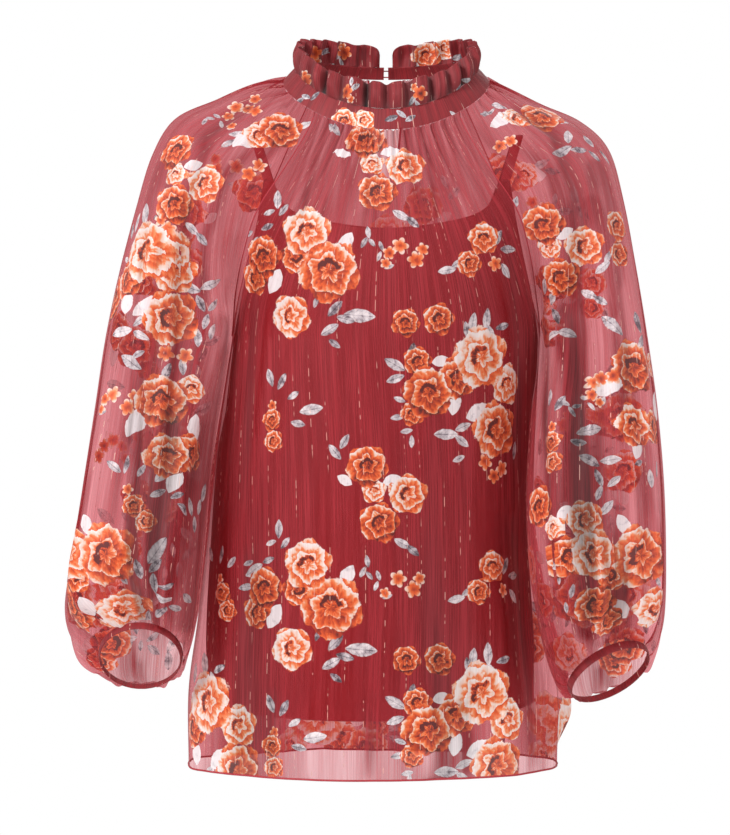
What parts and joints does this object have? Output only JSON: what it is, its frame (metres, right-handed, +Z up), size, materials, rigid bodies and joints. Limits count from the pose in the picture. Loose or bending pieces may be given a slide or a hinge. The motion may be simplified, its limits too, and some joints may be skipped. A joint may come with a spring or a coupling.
{
  "type": "blouse",
  "caption": "Sheer crinkle blouse with a ruffled stand collar, raglan balloon sleeves gathered at neck and cuff, a back keyhole and an opaque camisole lining.",
  "frame": {"origin": "middle of the neck opening, level with the tops of the shoulders", "axes": "+Z up along the body, the front faces -Y, +X towards the right of the front view"},
  "size_m": [0.5606, 0.2582, 0.6932],
  "materials": {
    "printed_chiffon": "sheer crinkled chiffon with a floral print and fine metallic threads",
    "sleeve_chiffon": "the same sheer chiffon with nothing behind it",
    "collar_chiffon": "the same chiffon in two layers",
    "lining": "opaque matte woven lining",
    "button": "dyed to match, soft gloss",
    "loop": "covered thread loop"
  },
  "bodies": {
    "root": {"front_body": "printed_chiffon", "back_body": "printed_chiffon", "sleeve_left": "sleeve_chiffon", "sleeve_right": "sleeve_chiffon", "neck_band": "collar_chiffon", "collar_ruffle": "collar_chiffon", "cuff_left": "collar_chiffon", "cuff_right": "collar_chiffon", "lining_front": "lining", "lining_back": "lining", "strap_left": "lining", "strap_right": "lining", "back_button": "button", "button_loop": "loop"}
  },
  "joints": []
}
